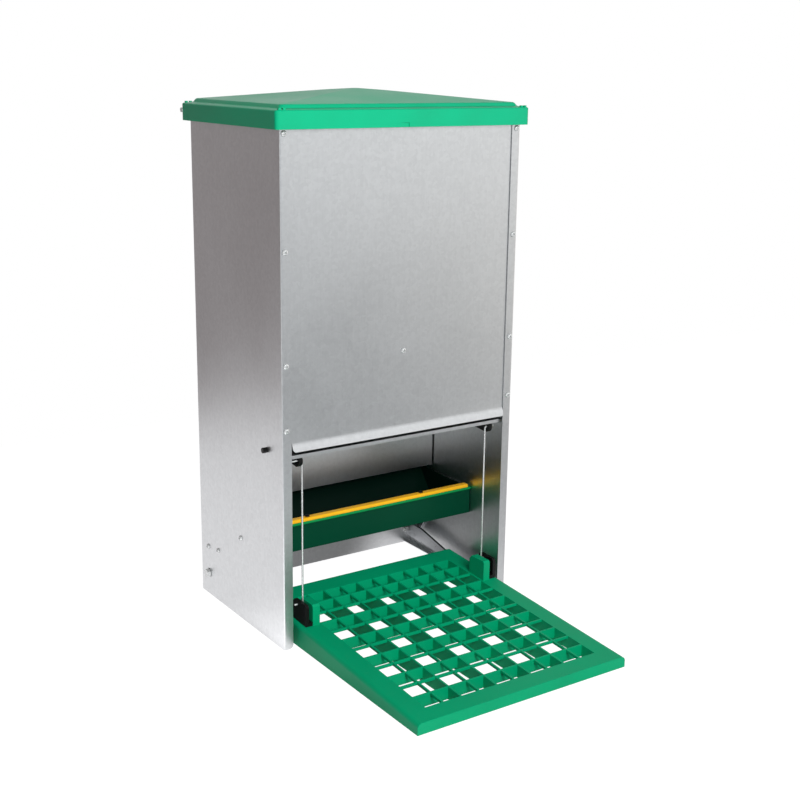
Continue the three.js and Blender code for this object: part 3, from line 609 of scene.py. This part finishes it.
def pan_screw(head_radius, head_height, length):
    """A pan-head screw with a cross recess and a cut thread; its seat is at Z = 0, the head above."""
    bm = bmesh.new()
    under = ring(bm, circle(head_radius * HEAD_UNDERSIDE, 0))
    shank = thread_rings(bm, 0, -length, SCREW_CORE, SCREW_CREST, SCREW_PITCH, SCREW_TIP)
    skin(bm, shank[0], under)
    cap(bm, shank[-1], -length - SCREW_POINT)
    loop = under
    for step in range(1, HEAD_STEPS + 1):
        lean = math.pi / 2 * (1 - HEAD_ARC * step / HEAD_STEPS)
        radius = head_radius * math.sin(lean) ** (2 / 3)
        above = ring(bm, circle(radius, head_height * (HEAD_RIM + (1 - HEAD_RIM) * math.cos(lean))))
        skin(bm, loop, above)
        loop = above
    height = loop[0].co.z
    reach, width = (head_radius * share for share in RECESS_MOUTH)
    mouth = ring(bm, cross_outline(reach, width, height + RECESS_LIP * head_height))
    reach, width = (head_radius * share for share in RECESS_FLOOR)
    floor = ring(bm, cross_outline(reach, width, height - RECESS_DEPTH * head_height))
    skin(bm, floor, mouth)
    bm.faces.new(floor)
    edges = []
    for points in (loop, mouth):
        for i, vertex in enumerate(points):
            after = points[(i + 1) % len(points)]
            edges.append(bm.edges.get((vertex, after)) or bm.edges.new((vertex, after)))
    bmesh.ops.triangle_fill(bm, use_beauty=True, use_dissolve=False, edges=edges)
    return bm


def placed(bm, seat, out):
    """Turns a bmesh so that its +Z points along out, and moves its seat into place."""
    turn = Vector((0, 0, 1)).rotation_difference(Vector(out)).to_matrix().to_4x4()
    bm.transform(Matrix.Translation(seat) @ turn)
    return bm


def seat_of(node, out, head):
    """The point under a screw's head, from the CAD screw's box."""
    low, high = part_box(node)
    seat = (low + high) / 2
    axis = max(range(3), key=lambda i: abs(out[i]))
    seat[axis] = high[axis] - head if out[axis] > 0 else low[axis] + head
    return seat


def screws(materials):
    """All the screws, each seated where its CAD screw is."""
    front, back, up = (0, -1, 0), (0, 1, 0), (0, 0, 1)
    zinc, dark = materials["zinc_plated_steel"], materials["dark_steel"]
    rows = [("baffle_screw", front, SHEET_SCREW, zinc, "box")]
    for word, side in SIDES:
        out = (side, 0, 0)
        groups = (("front_screw", 4, front, SHEET_SCREW, "box"), ("back_screw", 3, back, SHEET_SCREW, "box"),
                  ("plate_screw", 2, out, PLATE_SCREW, "box"), ("arm_screw", 2, out, ARM_SCREW, "treadle"))
        for name, count, way, kind, body in groups:
            rows += [(f"{name}_{word}_{i + 1}", way, kind, zinc, body) for i in range(count)]
        rows.append((f"trough_screw_{word}", out, SHEET_SCREW, zinc, "box"))
        rows.append((f"strip_screw_{word}", up, STRIP_SCREW, dark, "box"))
    for turn, (node, out, (radius, head, length), material, body) in enumerate(rows):
        bm = pan_screw(radius, head, length)
        bm.transform(Matrix.Rotation(turn * SCREW_TURN, 4, "Z"))
        placed(bm, seat_of(node, out, head), out)
        piece = place_piece(f"{node}_pan_head", bm, material, body, node)
        soften(piece, SCREW_EDGE, 2, METAL_ANGLE)


# ---- pivot bolts and nuts -----------------------------------------------------------------
BOLT_HEAD = 4 * MM
BOLT_APOTHEM = 4.33 * MM
BOLT_FLANGE = ((5.5, 0), (5.6, 0.25), (5.45, 0.6), (4.95, 0.85))        # radius and height, in mm
HEX_START = 0.95 * MM          # height on the head where the flange ends and the hexagon starts
DISH_RIM, DISH_FLOOR, DISH_DEPTH = 2.6 * MM, 2.2 * MM, 0.25 * MM
BOLT_SHANK = 3 * MM
BOLT_CORE, BOLT_CREST, BOLT_PITCH = 2.6 * MM, 2.98 * MM, 1 * MM
BOLT_THREAD = 9 * MM           # threaded length
THREAD_RUNOUT = 0.1 * MM
NUT_APOTHEM, NUT_BORE = 4.85 * MM, 3.12 * MM
COUNTERSINK = 0.4 * MM
BORE_MOUTH = 1.14              # of the bore, where it is countersunk
FACE = 0.985                   # of the apothem, the flat end face of a hexagon
CHAMFER_DROP = 0.09            # of the apothem
CHAMFER_LEAST = 0.15           # of the drop, at the middle of a flat
CHAMFER_RISE = 6.5             # how steeply the turned face falls away towards the corners


def hexagon(apothem, height, share=1.0):
    """A hexagon as a fine ring; at a share of 0 it is its inscribed circle."""
    points = []
    for angle in around(FACETS):
        off = (angle % (math.pi / 3)) - math.pi / 6
        radius = apothem * (1 + share * (1 / math.cos(off) - 1))
        points.append((radius * math.cos(angle), radius * math.sin(angle), height))
    return points


def turned(apothem, height, way):
    """A hexagon whose corners are turned off: they lie further along way than its flats."""
    drop = apothem * CHAMFER_DROP * way
    return [(x, y, height + drop * max(CHAMFER_LEAST, (math.hypot(x, y) / apothem - 1) * CHAMFER_RISE))
            for x, y, _ in hexagon(apothem, height)]


def hex_rings(apothem, low, high, both_ends=False):
    """Rings up the side of a hexagonal head, with its corners turned off at the top or at both ends."""
    face = apothem * FACE
    lower = [hexagon(face, low, 0.0), turned(apothem, low, 1)] if both_ends else [hexagon(apothem, low)]
    return [*lower, turned(apothem, high, -1), hexagon(face, high, 0.0)]


def hex_bolt(length):
    """A flanged hex bolt with its seat at Z = 0 and its shank, threaded at the end, below."""
    bm = bmesh.new()
    core = ring(bm, circle(BOLT_SHANK, 0))
    loops = [core, *[ring(bm, circle(radius * MM, height * MM)) for radius, height in BOLT_FLANGE]]
    loops += [ring(bm, points) for points in hex_rings(BOLT_APOTHEM, HEX_START, BOLT_HEAD)]
    loops.append(ring(bm, circle(DISH_RIM, BOLT_HEAD)))
    loops.append(ring(bm, circle(DISH_FLOOR, BOLT_HEAD - DISH_DEPTH)))
    skins(bm, loops)
    cap(bm, loops[-1], BOLT_HEAD - DISH_DEPTH)
    thread_top = BOLT_THREAD - length
    neck = ring(bm, circle(BOLT_SHANK, thread_top))
    skin(bm, neck, core)
    cut = thread_rings(bm, thread_top - THREAD_RUNOUT, -length, BOLT_CORE, BOLT_CREST, BOLT_PITCH)
    skin(bm, cut[0], neck)
    cap(bm, cut[-1], -length)
    return bm


def hex_nut(thickness):
    """A plain nut, from Z = 0 down, with both faces turned and a countersunk bore."""
    bm = bmesh.new()
    loops = [ring(bm, points) for points in hex_rings(NUT_APOTHEM, -thickness, 0, both_ends=True)]
    mouth = NUT_BORE * BORE_MOUTH
    heights = (0, -COUNTERSINK, COUNTERSINK - thickness, -thickness)
    for radius, height in zip((mouth, NUT_BORE, NUT_BORE, mouth), heights):
        loops.append(ring(bm, circle(radius, height)))
    skins(bm, [*loops, loops[0]])
    return bm


def pivots(materials):
    """The treadle's two pivot bolts and their nuts."""
    zinc = materials["zinc_plated_steel"]
    for word, side in SIDES:
        out = (side, 0, 0)
        near = 1 if side > 0 else 0
        bolt_box, nut_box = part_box(f"pivot_bolt_{word}"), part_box(f"pivot_nut_{word}")
        middle = (nut_box[0] + nut_box[1]) / 2
        seat = Vector((bolt_box[near].x - side * BOLT_HEAD, middle.y, middle.z))
        face = Vector((nut_box[near].x, middle.y, middle.z))
        bolt = placed(hex_bolt(abs(seat.x - bolt_box[1 - near].x)), seat, out)
        piece = place_piece(f"treadle_pivot_bolt_{word}", bolt, zinc, "box", f"pivot_bolt_{word}")
        soften(piece, BOLT_EDGE, 2, METAL_ANGLE)
        nut = placed(hex_nut(nut_box[1].x - nut_box[0].x), face, out)
        piece = place_piece(f"treadle_pivot_nut_{word}", nut, zinc, "box", f"pivot_nut_{word}")
        soften(piece, BOLT_EDGE, 2, METAL_ANGLE)


# ---- wire work ----------------------------------------------------------------------------
CORNER_STEPS = 6
WIRE_FACETS = 12
END_ROUND, END_SHARE = 0.4, 0.55    # of the wire's radius: how long its rounded end is, and how wide

WIRE_RADIUS = 1 * MM
LINK_FOOT = (132 * MM, 45 * MM)     # across and up, the lower hook's end
LINK_HOOK = (134 * MM, 207 * MM)    # the upper hook's end
LINK_TURN = 2.2 * MM

SPRING_WIRE = 0.8 * MM
SPRING_TURN = 1.6 * MM
COIL_RADIUS = 5.3 * MM
COIL_TURNS = 4.25
COIL_STEPS = 96
COIL_START = math.radians(57)
COIL_OUTER, COIL_INNER = 145 * MM, 137.8 * MM    # across, where the coil starts and ends
SPRING_REACH = 31 * MM         # forward from the pivot to the leg's end
SPRING_FOOT = 133.5 * MM


def rounded_path(points, radius):
    """A path through points with each corner turned on a curve."""
    points = [Vector(point) for point in points]
    path = [points[0]]
    for before, corner, after in zip(points, points[1:], points[2:]):
        start = corner - (corner - before).normalized() * radius
        end = corner + (after - corner).normalized() * radius
        for step in range(CORNER_STEPS + 1):
            t = step / CORNER_STEPS
            path.append(start * (1 - t) ** 2 + corner * 2 * t * (1 - t) + end * t ** 2)
    path.append(points[-1])
    return path


def wire(path, radius):
    """A round wire along a path, with slightly rounded ends."""
    bm = bmesh.new()
    steps = [(b - a).normalized() for a, b in zip(path, path[1:])]
    tangents = [steps[0], *[(a + b).normalized() for a, b in zip(steps, steps[1:])], steps[-1]]
    inset = radius * END_ROUND
    stops = [(path[0], tangents[0], END_SHARE), (path[0] + tangents[0] * inset, tangents[0], 1.0)]
    stops += [(point, tangent, 1.0) for point, tangent in zip(path[1:-1], tangents[1:-1])]
    stops += [(path[-1] - tangents[-1] * inset, tangents[-1], 1.0), (path[-1], tangents[-1], END_SHARE)]
    side = tangents[0].orthogonal().normalized()
    loops = []
    for point, tangent, share in stops:
        side = (side - tangent * side.dot(tangent)).normalized()
        up = tangent.cross(side)
        spokes = [side * math.cos(angle) + up * math.sin(angle) for angle in around(WIRE_FACETS)]
        loops.append(ring(bm, [point + spoke * radius * share for spoke in spokes]))
    skins(bm, loops)
    bm.faces.new(loops[0][::-1])
    bm.faces.new(loops[-1])
    return bm


def links(materials):
    """The wire links, each hooked outward into the lever above and the clip below."""
    zinc = materials["zinc_plated_steel"]
    for word, side in SIDES:
        low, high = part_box(f"link_rod_{word}")
        y = (low.y + high.y) / 2
        inner = (high.x if side < 0 else low.x) + side * WIRE_RADIUS
        (foot_x, foot_z), (hook_x, hook_z) = LINK_FOOT, LINK_HOOK
        lower = [(side * foot_x, y, foot_z), (inner, y, foot_z)]
        upper = [(inner, y, hook_z), (side * hook_x, y, hook_z)]
        bm = wire(rounded_path(lower + upper, LINK_TURN), WIRE_RADIUS)
        place_piece(f"wire_link_{word}", bm, zinc, f"link_{word}", f"link_rod_{word}")


def springs(materials):
    """Torsion springs round the pivot bolts; they twist between the box and the treadle."""
    steel = materials["plain_steel"]
    for word, side in SIDES:
        low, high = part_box(f"pivot_nut_{word}")
        pivot = (low + high) / 2
        spring_low, spring_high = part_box(f"return_spring_{word}")
        outer, inner = side * COIL_OUTER, side * COIL_INNER
        coil = []
        for i in range(COIL_STEPS + 1):
            share = i / COIL_STEPS
            angle = COIL_START - 2 * math.pi * COIL_TURNS * share
            coil.append(Vector((outer + (inner - outer) * share,
                                pivot.y + COIL_RADIUS * math.cos(angle),
                                pivot.z + COIL_RADIUS * math.sin(angle))))
        stay = Vector((outer, coil[0].y, spring_high.z))
        elbow = Vector((inner, pivot.y - SPRING_REACH, spring_low.z + SPRING_WIRE))
        foot = Vector((side * SPRING_FOOT, elbow.y, elbow.z))
        leg = rounded_path([coil[-1], elbow, foot], SPRING_TURN)
        bm = wire([stay, *coil, *leg[1:]], SPRING_WIRE)
        piece = place_piece(f"torsion_spring_{word}", bm, steel, None, f"return_spring_{word}")
        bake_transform(piece)


# ---- studio -------------------------------------------------------------------------------
WHITE = (1, 1, 1, 1)
COOL, PLAIN, WARM = (0.9, 0.98, 1.08), (1.0, 1.0, 1.0), (1.1, 1.0, 0.88)
GREENISH = (0.7, 1.1, 1.0)

# what the metal mirrors: a direction, the cosines where it fades in and is full, strength and tint
MIRRORED = (
    ((0.30, -0.93, 0.20), 0.45, 0.98, 0.56, COOL),     # light from ahead
    ((0.82, -0.54, 0.20), 0.45, 0.98, 0.42, WARM),     # and from the front right
    ((0.60, 0.79, 0.05), 0.40, 0.97, 0.62, PLAIN),     # a bright wall at the rear right
    ((0.45, -0.2, 0.87), 0.5, 1.0, -0.24, PLAIN),      # shade overhead
    ((-0.45, 0.89, 0.05), 0.50, 1.0, -0.07, GREENISH),    # a little shade at the rear left
    ((-0.30, 0.95, 0.10), 0.80, 1.0, 0.06, WARM),      # a faint glow behind
    ((-0.83, -0.56, 0.05), 0.86, 0.99, 0.6, PLAIN),    # a bright wall at the front left
)
MIRRORED_BASE = 0.29
# what lights the matt surfaces from all round, in the same form
AMBIENT = (
    ((0.25, -0.85, 0.45), 0.0, 1.0, 0.22, PLAIN),      # light from ahead and above
    ((-1.0, 0.25, 0.1), 0.1, 1.0, -0.13, PLAIN),       # shade on the left
    ((0.0, 0.0, 1.0), 0.2, 1.0, 0.05, PLAIN),
)
AMBIENT_BASE = 0.14

# the floor, and how it looks to the eye and in the metal
FLOOR_SIZE, FLOOR_PLACE = (4.32, 4.05, 1), (1.04, -1.125, 0)
FLOOR_WHITE = 1.22             # its glow to the eye
FLOOR_SHARE = 0.8              # of glow in what the eye and the metal see of it
FLOOR_LEFT, FLOOR_RIGHT = (0.95, 0.985, 1.03, 1), (1.05, 1.0, 0.93, 1)
FLOOR_PLAIN = (1.005, 0.99, 1.005, 1)
REARWARD, RIGHTWARD = (-0.6, 0.8, 0), (0.88, 0.47, 0)    # directions across the floor


def surroundings(graph, direction, base, lobes):
    """The colour of the surroundings in a direction: a base with lobes of light or shade."""
    total = (base, base, base)
    for towards, low, high, amount, tint in lobes:
        facing = graph.dot(direction, Vector(towards).normalized())
        strength = graph.map(facing, low, high, 0, amount, smooth=True)
        total = graph.vector("ADD", total, graph.scale(tint, strength))
    return total


def make_world():
    """Pale surroundings: plain white to the eye, with soft light and shade for the reflections."""
    world = bpy.data.worlds.new("studio")
    bpy.context.scene.world = world
    world.use_nodes = True
    graph = Graph(world.node_tree)
    back = world.node_tree.nodes["Background"]
    direction = graph.add("ShaderNodeTexCoord").outputs["Generated"]
    path = graph.add("ShaderNodeLightPath")
    mirrored = surroundings(graph, direction, MIRRORED_BASE, MIRRORED)
    ambient = surroundings(graph, direction, AMBIENT_BASE, AMBIENT)
    lit = graph.mix(path.outputs["Is Glossy Ray"], ambient, mirrored)
    graph.set(back, "Color", graph.mix(path.outputs["Is Camera Ray"], lit, WHITE))
    graph.set(back, "Strength", 1.0)


def area_light(name, place, target, size, power):
    """A soft lamp that isn't itself seen or mirrored; the metal mirrors the surroundings instead."""
    data = bpy.data.lights.new(name, "AREA")
    data.shape = "RECTANGLE"
    data.size, data.size_y = size
    data.energy = power
    lamp = bpy.data.objects.new(name, data)
    bpy.context.scene.collection.objects.link(lamp)
    direction = Vector(target) - Vector(place)
    lamp.rotation_euler = direction.to_track_quat("-Z", "Y").to_euler()
    lamp.location = place
    lamp.visible_camera = False
    lamp.visible_glossy = False


def patch(graph, place, middle, reach, values, edges):
    """A soft oval on the floor, one value inside it and another outside.

    The edges are where the first value ends and the second starts, after reach has scaled the place.
    """
    away = graph.length(graph.vector("MULTIPLY", graph.vector("SUBTRACT", place, middle), reach))
    return graph.map(away, *edges, *values, smooth=True)


def floor_glow(graph, place):
    """How bright the metal sees the floor: dark under the box, brighter to the rear left and front right."""
    behind = graph.map(graph.dot(place, REARWARD), -0.3, 0.3, 0.56, 1.14, smooth=True)
    under_box, under_treadle = (
        patch(graph, place, middle, reach=(6.9, 5.4, 0), values=(0.25, 1), edges=(0.85, 1.15))
        for middle in ((0, 0.05, 0), (0, -0.12, 0)))
    corner = patch(graph, place, (-0.12, -0.28, 0), reach=(2.2, 2.2, 0), values=(2.3, 1), edges=(0.4, 1.0))
    near = patch(graph, place, (0, 0, 0), reach=(1, 1, 0), values=(1, 0), edges=(2.0, 3.6))
    ahead = graph.map(graph.axis(place, "Y"), -0.5, -0.2, 1, 0, smooth=True)
    rightward = graph.map(graph.dot(place, RIGHTWARD), 0.05, 0.7, 0.44, 1.85, smooth=True)
    change = graph.product(near, ahead, graph.math("SUBTRACT", rightward, 1.0))
    return graph.product(behind, corner, under_box, under_treadle, graph.math("ADD", 1.0, change))


def floor_hue(graph, place):
    """The floor ahead of the box is a little cool on the left and warm on the right, and plain elsewhere."""
    sideways = graph.map(graph.dot(place, RIGHTWARD), 0.0, 0.7, 0, 1)
    ahead = graph.map(graph.axis(place, "Y"), -0.5, 0.0, 1, 0)
    return graph.mix(ahead, FLOOR_PLAIN, graph.mix(sideways, FLOOR_LEFT, FLOOR_RIGHT))


def make_floor():
    """A pale table that ends behind the box; it looks white and keeps a faint contact shadow."""
    bpy.ops.mesh.primitive_grid_add(size=1, x_subdivisions=2, y_subdivisions=2)
    floor = bpy.context.object
    floor.name = "floor"
    floor.scale = FLOOR_SIZE
    floor.location = FLOOR_PLACE
    material = bpy.data.materials.new("floor")
    material.use_nodes = True
    graph = Graph(material.node_tree)
    shader = material.node_tree.nodes["Principled BSDF"]
    shader.inputs["Base Color"].default_value = (0.86, 0.86, 0.86, 1)
    shader.inputs["Roughness"].default_value = 0.9
    path = graph.add("ShaderNodeLightPath")
    place = graph.add("ShaderNodeNewGeometry").outputs["Position"]
    to_eye, to_gloss = path.outputs["Is Camera Ray"], path.outputs["Is Glossy Ray"]
    strength = graph.map(to_eye, 0, 1, floor_glow(graph, place), FLOOR_WHITE)
    hue = graph.mix(to_eye, floor_hue(graph, place), WHITE)
    glow = graph.add("ShaderNodeEmission", {"Color": hue, "Strength": strength})
    share = graph.product(graph.math("MAXIMUM", to_eye, to_gloss), FLOOR_SHARE)
    mixed = graph.add("ShaderNodeMixShader", {0: share, 1: shader.outputs[0], 2: glow.outputs[0]})
    graph.set(material.node_tree.nodes["Material Output"], "Surface", mixed.outputs[0])
    floor.data.materials.append(material)


def make_studio():
    """Soft studio light round a white table."""
    bpy.context.scene.view_settings.view_transform = "Standard"
    make_world()
    area_light("key", (-0.4, -2.15, 1.3), target=(0, -0.05, 0.28), size=(0.9, 0.8), power=40)
    area_light("side", (-0.33, -0.8, 0.82), target=(-0.05, 0, 0.5), size=(0.35, 0.35), power=4.6)
    make_floor()


# ---- everything together ------------------------------------------------------------------
make_camera()
make_studio()
MATERIALS = make_materials()
dress_nodes(MATERIALS)
treadle(MATERIALS)
screws(MATERIALS)
pivots(MATERIALS)
links(MATERIALS)
springs(MATERIALS)
